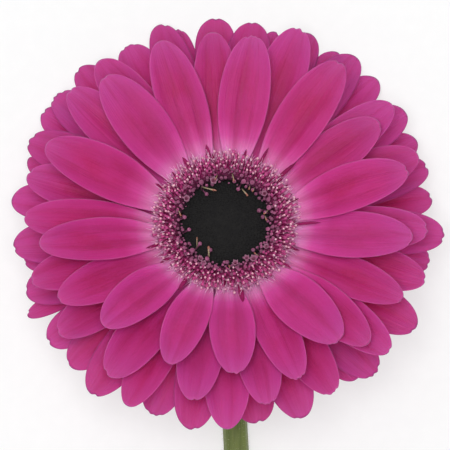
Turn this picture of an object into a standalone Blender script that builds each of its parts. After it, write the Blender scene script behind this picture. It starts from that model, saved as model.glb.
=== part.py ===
"""A cut gerbera laid on a table: an open flower head looking up, and its stem along the surface.

The head leans away from the stem by HEAD_TILT, so that it rests on the tips of its rear petals.
Head pieces are shaped in the head's own frame: its axis is +Z, and z = 0 is the petals' level.
Sizes are in millimetres and are scaled by MM where a mesh is made.
"""

import math
from collections import namedtuple

import bmesh
import bpy
from mathutils import Vector

MM = 0.001

# Flower head
HEAD_TILT = math.radians(18)
GAP = 0.3                        # between two pieces that touch
TURNED_SIDES = 36                # of the receptacle and the eye

# Receptacle: the green cushion that carries every petal and floret
RECEPTACLE_RADIUS = 13.0
RECEPTACLE_TOP = 2.8
RECEPTACLE_FOOT = -13.0
RECEPTACLE_PROFILE = [(3.9, RECEPTACLE_FOOT), (8.4, -9.8), (12.0, -6.0), (RECEPTACLE_RADIUS, -3.4),
                      (RECEPTACLE_RADIUS, RECEPTACLE_TOP)]

# Eye: the dark closed florets in the middle
EYE_RADIUS = 11.7
EYE_TOP = 6.4
EYE_FOOT = RECEPTACLE_TOP + GAP
EYE_PROFILE = [(EYE_RADIUS - 0.2, EYE_FOOT), (EYE_RADIUS, EYE_TOP - 0.8), (EYE_RADIUS - 1.2, EYE_TOP),
               (EYE_RADIUS * 0.6, EYE_TOP), (EYE_RADIUS * 0.25, EYE_TOP - 0.3)]

# Floret ring: the open small florets round the eye
FLORET_INNER = 12.0
FLORET_OUTER = 18.2
FLORET_CREST = 14.2              # radius of the highest florets
FLORET_TOP = 8.4
FLORET_COUNT = 30                # bumps round the outer edge
FLORET_BUMP = 0.7
FLORET_FOOT = RECEPTACLE_TOP + GAP
FLORET_EAVE = FLORET_FOOT + 2.6  # height of the outer edge, over the petals' roots

# Bracts: green scales that hug the receptacle and end in free points
BRACT_COUNT = 20
BRACT_COLUMNS = 4                # across one scale
BRACT_THICKNESS = 0.9
BRACT_NOTCH = 0.12               # of a free point's length, left in the notch beside it
BRACT_REACH = 19.5
BRACT_TIP_DROP = -7.0
BRACT_SLEEVE = [(5.6, -13.2), (9.5, -10.2), (13.3, -6.3)]

# Petals
PETAL_ROOT = RECEPTACLE_RADIUS + GAP + 0.15
PETAL_THICKNESS = 0.5
PETAL_BASE_WIDTH = 0.27          # of the full width
PETAL_WIDEST = 0.59              # along the length
PETAL_WAIST = 1.15               # over 1 keeps the petal narrow for longer
PETAL_TIP_WIDTH = 0.26
PETAL_ROUNDING = 2.3             # 2 ends in an ellipse, more ends squarer
PETAL_CUP = 0.13                 # how far the edges rise, of the half width
PETAL_STATIONS = 9
PETAL_CROWDING = 1.5             # over 1 puts more stations near the tip
PETAL_COLUMNS = [-1.0, -0.5, 0.0, 0.5, 1.0]
PLACING_ROUNDS = 12              # repeats that settle a petal's turn and length

Row = namedtuple("Row", "base rise_at_base rise_at_tip")

FRONT_UPPER = Row(2.0, 30, 14)
FRONT_LOWER = Row(1.2, 26, 11)
MIDDLE_UPPER = Row(0.2, 18, 6)
MIDDLE_LOWER = Row(-0.7, 13, 1)
REAR_UPPER = Row(-1.7, 8, -7)
REAR_LOWER = Row(-2.6, 3, -13)

# Each petal: clock angle and reach seen from straight above, width, extra lift in degrees, row
PETALS = {
    "front": [
        (8.5, 48.0, 13.2, 0, FRONT_UPPER),
        (36, 50.0, 13.2, 0, FRONT_UPPER),
        (57, 46.5, 12.5, 0, FRONT_LOWER),
        (74.5, 48.0, 12.8, 1, FRONT_UPPER),
        (95, 47.5, 12.8, -2, FRONT_UPPER),
        (113.5, 49.0, 11.0, -4, FRONT_LOWER),
        (130.5, 47.5, 12.0, 0, FRONT_LOWER),
        (136.5, 41.5, 13.6, 1, FRONT_UPPER),
        (155, 44.0, 11.0, -1, FRONT_LOWER),
        (176.5, 38.5, 12.0, -1, FRONT_UPPER),
        (201.5, 38.5, 11.0, 1.5, FRONT_UPPER),
        (229.5, 40.5, 12.0, 0, FRONT_UPPER),
        (245, 46.5, 12.0, 0, FRONT_LOWER),
        (263, 47.5, 11.8, 0, FRONT_UPPER),
        (271, 51.0, 12.0, 0, FRONT_LOWER),
        (293, 49.5, 13.4, 0, FRONT_UPPER),
        (320, 48.0, 13.8, 0, FRONT_UPPER),
        (340, 49.0, 12.8, 0, FRONT_LOWER),
        (356, 48.5, 12.0, 3, MIDDLE_UPPER),
    ],
    "middle": [
        (21, 53.0, 13.0, 0, MIDDLE_UPPER),
        (55, 52.0, 12.0, 0, MIDDLE_UPPER),
        (71, 52.0, 12.0, 0, MIDDLE_LOWER),
        (92.5, 51.5, 12.0, 0, MIDDLE_UPPER),
        (106.5, 53.0, 12.0, 0, MIDDLE_LOWER),
        (128.5, 53.0, 12.0, 0, MIDDLE_UPPER),
        (148, 51.5, 12.0, 0, MIDDLE_LOWER),
        (167, 47.5, 11.5, 0, MIDDLE_UPPER),
        (179.5, 52.5, 12.5, 0, MIDDLE_LOWER),
        (190.5, 46.0, 12.0, 2, MIDDLE_UPPER),
        (208, 53.0, 11.0, 0, MIDDLE_LOWER),
        (217, 49.0, 12.5, 0, MIDDLE_UPPER),
        (236, 51.0, 12.0, 0, MIDDLE_LOWER),
        (253, 51.5, 11.5, 0, MIDDLE_UPPER),
        (283, 52.0, 12.0, 0, MIDDLE_LOWER),
        (310, 52.0, 12.5, 0, MIDDLE_UPPER),
        (322, 52.5, 12.5, 0, MIDDLE_LOWER),
    ],
    "rear": [
        (8, 51.7, 12.5, 2.7, REAR_LOWER),
        (38, 54.0, 12.5, -0.5, REAR_LOWER),
        (58.5, 54.0, 12.5, 0, REAR_UPPER),
        (75, 53.5, 12.0, 0, REAR_LOWER),
        (93.5, 56.0, 12.5, 0, REAR_UPPER),
        (119, 55.5, 12.5, 0, REAR_UPPER),
        (135.5, 54.5, 12.5, 0, REAR_LOWER),
        (158.5, 53.5, 12.5, 0, REAR_UPPER),
        (189.5, 53.5, 12.5, 0, REAR_UPPER),
        (200.5, 52.5, 12.0, 0, REAR_LOWER),
        (218, 55.5, 12.5, 0, REAR_UPPER),
        (227, 54.0, 12.0, 0, REAR_LOWER),
        (250, 54.0, 12.5, 0, REAR_LOWER),
        (263.5, 54.5, 12.5, 0, REAR_UPPER),
        (276, 55.0, 12.0, 0, REAR_LOWER),
        (292.5, 54.5, 12.5, 0, REAR_UPPER),
        (306.5, 54.5, 12.5, 0, REAR_LOWER),
        (331, 52.0, 12.5, 0.4, REAR_LOWER),
        (341.5, 53.5, 11.0, 0, REAR_UPPER),
    ],
}

# Stem: a solid scape with a bent neck, cut on a slant
NECK_RADIUS = 3.2
CUT_RADIUS = 3.8
NECK_BEND = 9.0                  # radius of the neck's centre line
STEM_LYING = 215.0               # length along the table
STEM_SWAY = 5.0                  # sideways bow of the lying stem
STEM_SWAY_TURN = math.radians(162)
STEM_SIDES = 16
NECK_STATIONS = 7
STEM_STATIONS = 20
CUT_SLANT = 5.0                  # how far the cut's lower edge runs past its upper edge


def material(name, colour, roughness):
    """A plain Principled BSDF material."""
    made = bpy.data.materials.new(name)
    made.use_nodes = True
    shader = made.node_tree.nodes["Principled BSDF"]
    shader.inputs["Base Color"].default_value = (*colour, 1.0)
    shader.inputs["Roughness"].default_value = roughness
    shader.inputs["Metallic"].default_value = 0.0
    made.diffuse_color = (*colour, 1.0)
    return made


def loft(name, rings, finish, parent, closed=False):
    """One closed solid through rings of points: closed runs round to the first ring, open is capped."""
    shape = bmesh.new()
    rows = [[shape.verts.new(Vector(point) * MM) for point in ring] for ring in rings]
    count = len(rows[0])
    pairs = list(zip(rows, rows[1:]))
    if closed:
        pairs.append((rows[-1], rows[0]))
    else:
        shape.faces.new(rows[0])
        shape.faces.new(rows[-1])
    for row, following in pairs:
        for i in range(count):
            j = (i + 1) % count
            shape.faces.new((row[i], row[j], following[j], following[i]))
    bmesh.ops.recalc_face_normals(shape, faces=shape.faces)
    mesh = bpy.data.meshes.new(name)
    shape.to_mesh(mesh)
    shape.free()
    mesh.shade_smooth()
    mesh.set_sharp_from_angle(angle=math.radians(50))
    mesh.materials.append(finish)
    piece = bpy.data.objects.new(name, mesh)
    piece.parent = parent
    bpy.context.collection.objects.link(piece)
    return piece


def circle(radius, height, sides):
    """Points of a level ring about the head's axis."""
    turns = [2 * math.pi * i / sides for i in range(sides)]
    return [(radius * math.cos(turn), radius * math.sin(turn), height) for turn in turns]


def about_axis(section, turn):
    """A radial cross-section of (radius, height) points, turned to its place about the head's axis."""
    return [(radius * math.sin(turn), radius * math.cos(turn), height) for radius, height in section]


def make_receptacle(finish, head):
    rings = [circle(radius, height, TURNED_SIDES) for radius, height in RECEPTACLE_PROFILE]
    return loft("receptacle", rings, finish, head)


def make_eye(finish, head):
    rings = [circle(radius, height, TURNED_SIDES) for radius, height in EYE_PROFILE]
    return loft("eye", rings, finish, head)


def make_floret_ring(finish, head):
    """A crown whose foot stands on the receptacle and whose underside clears the rising petals."""
    columns = 2 * FLORET_COUNT
    rings = []
    for i in range(columns):
        edge = FLORET_OUTER - (i % 2) * FLORET_BUMP
        section = [(FLORET_INNER, FLORET_FOOT), (RECEPTACLE_RADIUS, FLORET_FOOT),
                   (edge - 0.4, FLORET_EAVE), (edge, FLORET_EAVE + 0.9), (edge - 1.6, FLORET_TOP - 0.4),
                   (FLORET_CREST, FLORET_TOP), (FLORET_INNER + 0.2, FLORET_TOP - 1.0)]
        rings.append(about_axis(section, 2 * math.pi * i / columns))
    return loft("floret_ring", rings, finish, head, closed=True)


def make_bracts(finish, head):
    """A sleeve of scales grown together at the foot, with a free point on each scale."""
    columns = BRACT_COUNT * BRACT_COLUMNS
    root_radius, root_height = BRACT_SLEEVE[-1]
    spread = BRACT_REACH - root_radius
    droop = BRACT_TIP_DROP - root_height
    rings = []
    for i in range(columns):
        phase = (i % BRACT_COLUMNS) / BRACT_COLUMNS
        point = BRACT_NOTCH + (1 - BRACT_NOTCH) * (1 - abs(2 * phase - 1))
        middle = (root_radius + spread * point / 2, root_height + droop * point / 5)
        tip = (root_radius + spread * point, root_height + droop * point)
        upper = BRACT_SLEEVE + [middle, tip]
        lower = [(radius + BRACT_THICKNESS / 2, height - BRACT_THICKNESS)
                 for radius, height in BRACT_SLEEVE + [middle]]
        rings.append(about_axis(upper + lower[::-1], 2 * math.pi * i / columns))
    return loft("bracts", rings, finish, head, closed=True)


def station(i):
    """Fraction of the petal's length at a station: the stations crowd towards the round tip."""
    return 1 - (1 - i / PETAL_STATIONS) ** PETAL_CROWDING


def petal_slope(row, lift, along):
    """The petal's climb in radians, at a fraction of its length."""
    return math.radians(lift + row.rise_at_base + (row.rise_at_tip - row.rise_at_base) * along)


def petal_midline(row, lift):
    """Stations of a petal of unit length: run, climb and slope at each."""
    run = climb = 0.0
    stations = [(0.0, 0.0, petal_slope(row, lift, 0.0))]
    for i in range(PETAL_STATIONS):
        step = station(i + 1) - station(i)
        slope = petal_slope(row, lift, station(i) + step / 2)
        run += step * math.cos(slope)
        climb += step * math.sin(slope)
        stations.append((run, climb, petal_slope(row, lift, station(i + 1))))
    return stations


def petal_place(azimuth, reach, row, midline):
    """The turn about the head's axis and the length that put the tip where it shows from above."""
    across = reach * math.sin(math.radians(azimuth))
    up = reach * math.cos(math.radians(azimuth)) + EYE_TOP * math.sin(HEAD_TILT)
    tip_run, tip_climb, _ = midline[-1]
    height = row.base
    for _ in range(PLACING_ROUNDS):
        along = (up - height * math.sin(HEAD_TILT)) / math.cos(HEAD_TILT)
        length = (math.hypot(across, along) - PETAL_ROOT) / tip_run
        height = row.base + length * tip_climb
    return math.atan2(across, along), length


def petal_half_width(along, width):
    """Half the petal's width at a fraction of its length: narrow at the root, round at the tip."""
    if along < PETAL_WIDEST:
        swell = math.sin(math.pi / 2 * along / PETAL_WIDEST) ** PETAL_WAIST
        return width / 2 * (PETAL_BASE_WIDTH + (1 - PETAL_BASE_WIDTH) * swell)
    past = (along - PETAL_WIDEST) / (1 - PETAL_WIDEST)
    return width / 2 * (PETAL_TIP_WIDTH + (1 - PETAL_TIP_WIDTH) * math.sqrt(1 - past ** PETAL_ROUNDING))


def make_petal(name, azimuth, reach, width, lift, row, finish, head):
    """A thin cupped blade whose edges are sharp, rooted on the side of the receptacle."""
    midline = petal_midline(row, lift)
    turn, length = petal_place(azimuth, reach, row, midline)
    outward = Vector((math.sin(turn), math.cos(turn), 0))
    sideways = Vector((math.cos(turn), -math.sin(turn), 0))
    rings = []
    for i, (run, climb, slope) in enumerate(midline):
        half = petal_half_width(station(i), width)
        middle = outward * (PETAL_ROOT + run * length) + Vector((0, 0, row.base + climb * length))
        normal = Vector((0, 0, math.cos(slope))) - outward * math.sin(slope)
        upper = []
        lower = []
        for column in PETAL_COLUMNS:
            rise = PETAL_CUP * half * column ** 2
            skin = PETAL_THICKNESS / 2 * (1 - column ** 2)
            upper.append(middle + sideways * (column * half) + normal * (rise + skin))
            lower.append(middle + sideways * (column * half) + normal * (rise - skin))
        rings.append(upper + lower[-2:0:-1])
    return loft(name, rings, finish, head)


def make_petals(finish, head):
    for whorl, petals in PETALS.items():
        for number, (azimuth, reach, width, lift, row) in enumerate(petals, start=1):
            name = f"petal_{whorl}_{number:02d}"
            make_petal(name, azimuth, reach, width, lift, row, finish, head)


def stem_path():
    """Centre points and headings: down from the receptacle, round the neck, along the table."""
    turn = math.pi / 2 - HEAD_TILT
    path = []
    for i in range(NECK_STATIONS + 1):
        heading = turn * (1 - i / NECK_STATIONS)
        y = -NECK_BEND * (math.sin(turn) - math.sin(heading))
        z = NECK_RADIUS + NECK_BEND * (1 - math.cos(heading))
        path.append((Vector((0, y, z)), Vector((0, -math.cos(heading), -math.sin(heading)))))
    start = path[-1][0].y
    for i in range(1, STEM_STATIONS + 1):
        along = i / STEM_STATIONS
        sway = STEM_SWAY * math.sin(STEM_SWAY_TURN * along)
        slope = STEM_SWAY * STEM_SWAY_TURN / STEM_LYING * math.cos(STEM_SWAY_TURN * along)
        height = NECK_RADIUS + (CUT_RADIUS - NECK_RADIUS) * along
        centre = Vector((sway, start - STEM_LYING * along, height))
        path.append((centre, Vector((slope, -1, 0)).normalized()))
    return path


def make_stem(finish, flower):
    """Rings across the path; the last one leans back to make the slanted cut."""
    path = stem_path()
    rings = []
    for i, (centre, heading) in enumerate(path):
        along = max(0, i - NECK_STATIONS) / STEM_STATIONS
        radius = NECK_RADIUS + (CUT_RADIUS - NECK_RADIUS) * along
        slant = CUT_SLANT / 2 if i == len(path) - 1 else 0.0
        side = Vector((1, 0, 0)) - heading * heading.x
        side.normalize()
        over = side.cross(heading)
        ring = []
        for k in range(STEM_SIDES):
            turn = 2 * math.pi * k / STEM_SIDES
            lean = heading * (-slant * math.sin(turn))
            ring.append(centre + side * (radius * math.cos(turn)) + over * (radius * math.sin(turn)) + lean)
        rings.append(ring)
    return loft("stem", rings, finish, flower)


def place_head(head):
    """Set the head on its neck: the receptacle's foot stands a gap off the stem's upper end."""
    top, heading = stem_path()[0]
    head.rotation_euler = (-HEAD_TILT, 0, 0)
    head.location = (top - heading * (GAP - RECEPTACLE_FOOT)) * MM


def centre_on_table(flower):
    """Move the whole flower so that the middle of its box's underside is the origin."""
    bpy.context.view_layer.update()
    corners = [piece.matrix_world @ vertex.co
               for piece in bpy.context.scene.objects if piece.type == "MESH"
               for vertex in piece.data.vertices]
    low = [min(corner[axis] for corner in corners) for axis in range(3)]
    high = [max(corner[axis] for corner in corners) for axis in range(3)]
    flower.location = (-(low[0] + high[0]) / 2, -(low[1] + high[1]) / 2, -low[2])
    bpy.context.view_layer.update()


def empty(name, parent=None):
    made = bpy.data.objects.new(name, None)
    made.parent = parent
    bpy.context.collection.objects.link(made)
    return made


for leftover in list(bpy.data.objects):
    bpy.data.objects.remove(leftover)

petal_finish = material("petal", (0.50, 0.035, 0.22), 0.55)
eye_finish = material("eye", (0.014, 0.013, 0.014), 0.6)
floret_finish = material("floret", (0.26, 0.03, 0.12), 0.6)
green_finish = material("bract", (0.16, 0.24, 0.05), 0.6)
receptacle_finish = material("receptacle", (0.20, 0.28, 0.08), 0.6)
stem_finish = material("stem", (0.13, 0.20, 0.045), 0.5)

flower = empty("flower")
head = empty("head", flower)
make_stem(stem_finish, flower)
place_head(head)
make_receptacle(receptacle_finish, head)
make_bracts(green_finish, head)
make_eye(eye_finish, head)
make_floret_ring(floret_finish, head)
make_petals(petal_finish, head)
centre_on_table(flower)
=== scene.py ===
import math
import random

import bpy
import numpy as np
from mathutils import Matrix, Vector


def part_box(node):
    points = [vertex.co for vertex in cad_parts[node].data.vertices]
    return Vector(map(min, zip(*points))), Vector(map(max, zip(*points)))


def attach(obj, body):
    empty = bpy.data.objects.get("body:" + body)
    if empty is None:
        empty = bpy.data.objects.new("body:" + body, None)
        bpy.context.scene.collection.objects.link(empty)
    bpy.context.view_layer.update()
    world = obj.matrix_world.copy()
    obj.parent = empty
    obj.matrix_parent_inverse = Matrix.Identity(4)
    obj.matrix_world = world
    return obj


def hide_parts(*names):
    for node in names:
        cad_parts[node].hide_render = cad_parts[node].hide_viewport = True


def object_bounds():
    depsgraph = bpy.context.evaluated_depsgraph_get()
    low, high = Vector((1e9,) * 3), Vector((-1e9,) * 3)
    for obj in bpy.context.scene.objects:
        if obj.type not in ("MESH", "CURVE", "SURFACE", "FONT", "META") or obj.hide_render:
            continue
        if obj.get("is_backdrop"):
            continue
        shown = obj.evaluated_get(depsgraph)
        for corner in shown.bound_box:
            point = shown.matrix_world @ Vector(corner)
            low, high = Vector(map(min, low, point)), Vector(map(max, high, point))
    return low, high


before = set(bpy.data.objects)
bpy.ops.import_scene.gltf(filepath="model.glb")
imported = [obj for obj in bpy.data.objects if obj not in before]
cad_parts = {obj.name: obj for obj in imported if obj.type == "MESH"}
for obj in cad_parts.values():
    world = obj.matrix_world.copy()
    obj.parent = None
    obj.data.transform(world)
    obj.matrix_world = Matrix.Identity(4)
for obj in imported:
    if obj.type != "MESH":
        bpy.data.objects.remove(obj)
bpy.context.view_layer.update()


# Receptacle: the fleshy green cushion at the top of the stem that every petal, floret and scale
# grows from. Its flat top gives the head its frame: +Z is the head's axis, +Y is the side away
# from the stem. It is the turned solid of the frame, with a mottled green skin.

MM = 0.001
RECEPTACLE_TOP = 2.8 * MM
RECEPTACLE_FOOT = -13.0 * MM

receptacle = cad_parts["receptacle"]
cushion_top = max(receptacle.data.polygons, key=lambda face: face.area)
head_axis = cushion_top.normal.normalized()
top_height = cushion_top.center.dot(head_axis)
top_rim = {tuple(round(c, 6) for c in v.co) for v in receptacle.data.vertices
           if abs(v.co.dot(head_axis) - top_height) < 0.1 * MM}
rim_middle = sum((Vector(corner) for corner in top_rim), Vector()) / len(top_rim)
head_origin = rim_middle - head_axis * RECEPTACLE_TOP
head_north = head_axis.cross(Vector((1, 0, 0))).normalized()
head_east = head_north.cross(head_axis)
HEAD = Matrix.Translation(head_origin) @ Matrix((head_east, head_north, head_axis)).transposed().to_4x4()
TO_HEAD = HEAD.inverted()
HEAD_TILT = math.acos(head_axis.z)


def srgb(*screen):
    """A screen colour, 0 to 255, as the linear colour that a shader takes."""
    shares = (channel / 255 for channel in screen)
    return tuple(((share + 0.055) / 1.055) ** 2.4 if share > 0.04 else share / 12.92 for share in shares)


class Nodes:
    """Short ways to add and join nodes in a shader or geometry tree. Colours are screen colours."""

    def __init__(self, tree):
        self.tree = tree

    def feed(self, value, socket):
        if isinstance(value, bpy.types.NodeSocket):
            self.tree.links.new(value, socket)
        elif socket.type == "RGBA":
            socket.default_value = (*srgb(*value), 1)
        else:
            socket.default_value = value

    def node(self, kind, **settings):
        made = self.tree.nodes.new(kind)
        for name, value in settings.items():
            if hasattr(made, name):
                setattr(made, name, value)
            else:
                self.feed(value, made.inputs[name.replace("_", " ")])
        return made

    def maths(self, operation, *values, clamp=False):
        made = self.node("ShaderNodeMath", operation=operation, use_clamp=clamp)
        for value, socket in zip(values, made.inputs):
            self.feed(value, socket)
        return made.outputs[0]

    def times(self, first, *others):
        for other in others:
            first = self.maths("MULTIPLY", first, other)
        return first

    def vector(self, x=0.0, y=0.0, z=0.0):
        return self.node("ShaderNodeCombineXYZ", X=x, Y=y, Z=z).outputs[0]

    def noise(self, place, scale, detail):
        return self.node("ShaderNodeTexNoise", Vector=place, Scale=scale, Detail=detail).outputs["Fac"]

    def ease(self, value, low, high, to_low=0.0, to_high=1.0):
        """A value mapped smoothly from low..high to to_low..to_high, and no further."""
        made = self.node("ShaderNodeMapRange", interpolation_type="SMOOTHSTEP", Value=value)
        for number, limit in zip((1, 2, 3, 4), (low, high, to_low, to_high)):
            made.inputs[number].default_value = limit
        return made.outputs[0]

    def between(self, share, first, second):
        """The number that lies a share of the way from first to second."""
        made = self.node("ShaderNodeMix", Factor=share)
        self.feed(first, made.inputs[2])
        self.feed(second, made.inputs[3])
        return made.outputs[0]

    def group(self, tree, **settings):
        made = self.tree.nodes.new("ShaderNodeGroup")
        made.node_tree = tree
        for name, value in settings.items():
            self.feed(value, made.inputs[name.replace("_", " ")])
        return made.outputs


class Finish(Nodes):
    """A material with its Principled shader, whose constant sockets are set by name."""

    def __init__(self, name, **sockets):
        self.material = bpy.data.materials.new(name)
        self.material.use_nodes = True
        super().__init__(self.material.node_tree)
        self.shader = self.tree.nodes["Principled BSDF"]
        for socket, value in sockets.items():
            self.feed(value, self.shader.inputs[socket.replace("_", " ")])

    def ramp(self, factor, *stops):
        made = self.node("ShaderNodeValToRGB", Fac=factor)
        band = made.color_ramp.elements
        while len(band) < len(stops):
            band.new(0.5)
        for stop, (at, *colour) in zip(band, stops):
            stop.position = at
            stop.color = (*srgb(*colour), 1)
        return made.outputs["Color"]

    def mix(self, factor, first, second):
        made = self.node("ShaderNodeMix", data_type="RGBA")
        for value, number in ((factor, 0), (first, 6), (second, 7)):
            self.feed(value, made.inputs[number])
        return made.outputs[2]

    def stain(self, tone, colour, share, *masks):
        """The tone with a share of another colour in it, times any masks."""
        return self.mix(self.times(*masks, share), tone, colour)

    def attribute(self, name):
        return self.node("ShaderNodeAttribute", attribute_name=name).outputs["Fac"]

    def here(self, stretch=(1, 1, 1)):
        """The place on the piece, in metres; a small stretch draws a pattern out along that axis."""
        place = self.node("ShaderNodeTexCoord").outputs["Object"]
        return self.node("ShaderNodeMapping", Vector=place, Scale=stretch).outputs[0]

    def mottle(self, patches, cells, place=None, cell_share=0.5):
        """The mask of the mottle group at a place: here, unless another is given."""
        return self.group(mottle, Vector=place or self.here(), Patches=patches, Cells=cells,
                          Cell_Share=cell_share)["Mask"]

    def finish(self, colour, height=None, distance=0.0):
        """Feeds the shader its colour, and a bump of a height mask, so many metres high."""
        self.feed(colour, self.shader.inputs["Base Color"])
        if height:
            made = self.node("ShaderNodeBump", Distance=distance, Height=height)
            self.feed(made.outputs["Normal"], self.shader.inputs["Normal"])


def new_tree(kind, name, output, output_kind, *inputs):
    """A node tree with named inputs: its nodes, the inputs to read, and the output to feed."""
    tree = bpy.data.node_groups.new(name, kind + "NodeTree")
    for label, input_kind, value in inputs:
        socket = tree.interface.new_socket(name=label, in_out="INPUT", socket_type="NodeSocket" + input_kind)
        if value is not None:
            socket.default_value = value
    tree.interface.new_socket(name=output, in_out="OUTPUT", socket_type="NodeSocket" + output_kind)
    nodes = Nodes(tree)
    return nodes, nodes.node("NodeGroupInput").outputs, nodes.node("NodeGroupOutput").inputs[output]


def make_mottle_group():
    """Living tissue is never one tone: broad patches and fine cells in one mask from 0 to 1."""
    inner, given, mask = new_tree("Shader", "mottle", "Mask", "Float", ("Vector", "Vector", None),
                                  ("Patches", "Float", 80.0), ("Cells", "Float", 900.0),
                                  ("Cell Share", "Float", 0.5))
    patches = inner.noise(given["Vector"], given["Patches"], 2.0)
    cells = inner.noise(given["Vector"], given["Cells"], 3.0)
    both = inner.between(given["Cell Share"], patches, cells)
    inner.feed(inner.ease(both, 0.36, 0.64), mask)
    return inner.tree


mottle = make_mottle_group()

flesh = Finish("receptacle_flesh", Roughness=0.6)
flesh_mask = flesh.mottle(160.0, 1400.0)
in_head = flesh.node("ShaderNodeMapping", vector_type="POINT", Vector=flesh.here(),
                     Location=TO_HEAD.translation, Rotation=TO_HEAD.to_euler())
height = flesh.node("ShaderNodeSeparateXYZ", Vector=in_head.outputs[0]).outputs["Z"]
stained = flesh.ease(height, -4.5 * MM, -2.5 * MM)
flesh_green = flesh.mix(flesh_mask, (92, 114, 58), (146, 162, 100))
flesh_red = flesh.mix(flesh_mask, (136, 30, 84), (196, 88, 144))
flesh.finish(flesh.mix(stained, flesh_green, flesh_red), flesh_mask, 0.2 * MM)
receptacle.data.materials.clear()
receptacle.data.materials.append(flesh.material)


# Stem: one solid, leafless green scape with a bent neck, faintly ribbed along its length, paler
# and rounder at the neck, and cut on a slant with a knife, which leaves a pale wet face. It runs
# down from the cushion, round the neck and along the table.

NECK_RADIUS = 3.2 * MM
CUT_RADIUS = 3.8 * MM
NECK_BEND = 9.0 * MM
STEM_SWAY = 5.0 * MM
SWAY_TURN = math.radians(162)
CUT_SLANT = 5.0 * MM
CUT_ROWS = 9                      # rings over which the slant of the cut comes in
STEM_SIDES = 48
STEM_ROWS = 230
STEM_START = -0.8 * MM
SLIMNESS = 0.965                  # share of its solid's radius that the stem has below the flare
FLARE = 0.22                      # share by which it widens into the cushion
FLARE_LENGTH = 2.2 * MM
STEM_RIBS = 11
RIB_DEPTH = 0.016                 # share of the radius, as is the slow unevenness
UNEVENNESS = 0.012
RIBS_GROW = 12.0 * MM             # distance below the top at which the ribs are full
DOWN_STARTS = 1.2 * MM            # height over the table under which the stem has no hairs
stem_top = head_origin + head_axis * (RECEPTACLE_FOOT - 0.3 * MM)
neck_turn = math.pi / 2 - HEAD_TILT
neck_length = NECK_BEND * neck_turn
neck_end = stem_top.y - NECK_BEND * math.sin(neck_turn)
table_height = stem_top.z - NECK_RADIUS - NECK_BEND * (1 - math.cos(neck_turn))
lying_length = neck_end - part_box("stem")[0].y - CUT_SLANT / 2
stem_length = neck_length + lying_length


def stem_station(distance):
    """Centre, heading and radius of the stem at a distance below its top."""
    if distance < neck_length:
        heading = neck_turn - max(distance, 0) / NECK_BEND
        centre = Vector((stem_top.x, stem_top.y - NECK_BEND * (math.sin(neck_turn) - math.sin(heading)),
                         table_height + NECK_RADIUS + NECK_BEND * (1 - math.cos(heading))))
        downhill = Vector((0, -math.cos(heading), -math.sin(heading)))
        return centre - head_axis * min(distance, 0), downhill, NECK_RADIUS
    along = (distance - neck_length) / lying_length
    radius = NECK_RADIUS + (CUT_RADIUS - NECK_RADIUS) * along
    centre = Vector((stem_top.x + STEM_SWAY * math.sin(SWAY_TURN * along), neck_end - lying_length * along,
                     table_height + radius))
    slope = STEM_SWAY * SWAY_TURN / lying_length * math.cos(SWAY_TURN * along)
    return centre, Vector((slope, -1, 0)).normalized(), radius


def stem_ring(distance, slant=0.0, scale=1.0, swell=0.0):
    """Points round the stem: ribbed, a little uneven, and flared into the cushion."""
    centre, heading, radius = stem_station(distance)
    side = (Vector((1, 0, 0)) - heading * heading.x).normalized()
    over = side.cross(heading)
    flare = SLIMNESS + FLARE * math.exp(-max(distance, 0) / FLARE_LENGTH)
    ring = []
    for k in range(STEM_SIDES):
        turn = 2 * math.pi * k / STEM_SIDES
        rib = RIB_DEPTH * math.cos(STEM_RIBS * turn + 14 * distance)
        rib += UNEVENNESS * math.sin(3 * turn + 40 * distance)
        reach = radius * (flare + rib * min(1, max(distance, 0) / RIBS_GROW)) * scale
        lean = heading * (swell - slant * math.sin(turn) * scale)
        ring.append(centre + side * (reach * math.cos(turn)) + over * (reach * math.sin(turn)) + lean)
    return ring


def lofted(name, rings, foot, tip):
    """A closed smooth mesh through rings that run clockwise about their heading, from foot to tip."""
    points = [tuple(point) for ring in rings for point in ring] + [tuple(foot), tuple(tip)]
    count = len(rings[0])
    last = (len(rings) - 1) * count
    sides = [(k, (k + 1) % count) for k in range(count)]
    faces = [(row + here, row + count + here, row + count + after, row + after)
             for row in range(0, last, count) for here, after in sides]
    faces += [(len(points) - 2, here, after) for here, after in sides]
    faces += [(last + after, last + here, len(points) - 1) for here, after in sides]
    mesh = bpy.data.meshes.new(name)
    mesh.from_pydata(points, [], faces)
    mesh.shade_smooth()
    return mesh


def store(mesh, name, values):
    """A number for each of a mesh's points, for its material or its geometry tree."""
    mesh.attributes.new(name, "FLOAT", "POINT").data.foreach_set("value", np.array(values, np.float32))


def show(name, mesh, *materials):
    """An object at the origin whose place is in its mesh."""
    piece = bpy.data.objects.new(name, mesh)
    bpy.context.collection.objects.link(piece)
    for material in materials:
        mesh.materials.append(material)
    return piece


stem_rings = []
for row in range(STEM_ROWS + 1):
    distance = STEM_START + (stem_length - STEM_START) * row / STEM_ROWS
    near_cut = max(0.0, 1 - (STEM_ROWS - row) / CUT_ROWS)
    stem_rings.append(stem_ring(distance, CUT_SLANT / 2 * near_cut))
for scale, swell in ((0.95, 0.12), (0.88, 0.02), (0.78, 0.08), (0.6, -0.05), (0.35, -0.15)):
    stem_rings.append(stem_ring(stem_length, CUT_SLANT / 2, scale, swell * MM))
cut_centre = stem_station(stem_length)[0]
scape = lofted("stem_scape", stem_rings, stem_station(STEM_START)[0], cut_centre)
number = np.arange(len(scape.vertices))
on_skin = (number < (STEM_ROWS + 1) * STEM_SIDES) | (number == len(number) - 2)
along_stem = np.minimum(number // STEM_SIDES / STEM_ROWS, 1.0)
off_table = np.array([v.co.z - table_height > DOWN_STARTS for v in scape.vertices])
store(scape, "skin", on_skin)
store(scape, "along", along_stem)
store(scape, "from_pith", [min(1.0, (v.co - cut_centre).length / (CUT_RADIUS * 1.3)) for v in scape.vertices])
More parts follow.
